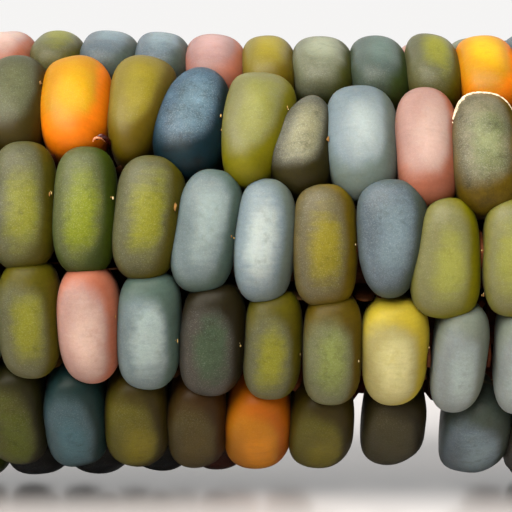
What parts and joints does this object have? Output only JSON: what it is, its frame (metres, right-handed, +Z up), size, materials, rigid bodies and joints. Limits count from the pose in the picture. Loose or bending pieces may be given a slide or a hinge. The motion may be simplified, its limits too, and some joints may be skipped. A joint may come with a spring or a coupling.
{
  "type": "corn cob",
  "caption": "Dried, husked ear of multi-coloured flint corn lying on its side: a woody cob with blunt pillow-shaped kernels in gently spiralling ranks.",
  "frame": {"origin": "on the surface that the ear rests on, under the middle of its box", "axes": "+X along the ear from the stalk's stub to the tip, +Z up, -Y towards the side seen in the reference view"},
  "size_m": [0.17, 0.0383, 0.0381],
  "materials": {
    "cob": "matt, rough red-brown woody cob with papery maroon and straw-coloured chaff between the kernels",
    "kernels": "waxy satin kernel skin, slightly translucent, each kernel its own colour: olive, sage, sky blue, slate, charcoal, amber, salmon pink or straw, greyer round the rim and brighter at the crown"
  },
  "bodies": {
    "root": {"cob_core": "cob", "kernel_row_01": "kernels", "kernel_row_02": "kernels", "kernel_row_03": "kernels", "kernel_row_04": "kernels", "kernel_row_05": "kernels", "kernel_row_06": "kernels", "kernel_row_07": "kernels", "kernel_row_08": "kernels", "kernel_row_09": "kernels", "kernel_row_10": "kernels", "kernel_row_11": "kernels", "kernel_row_12": "kernels"}
  },
  "joints": []
}
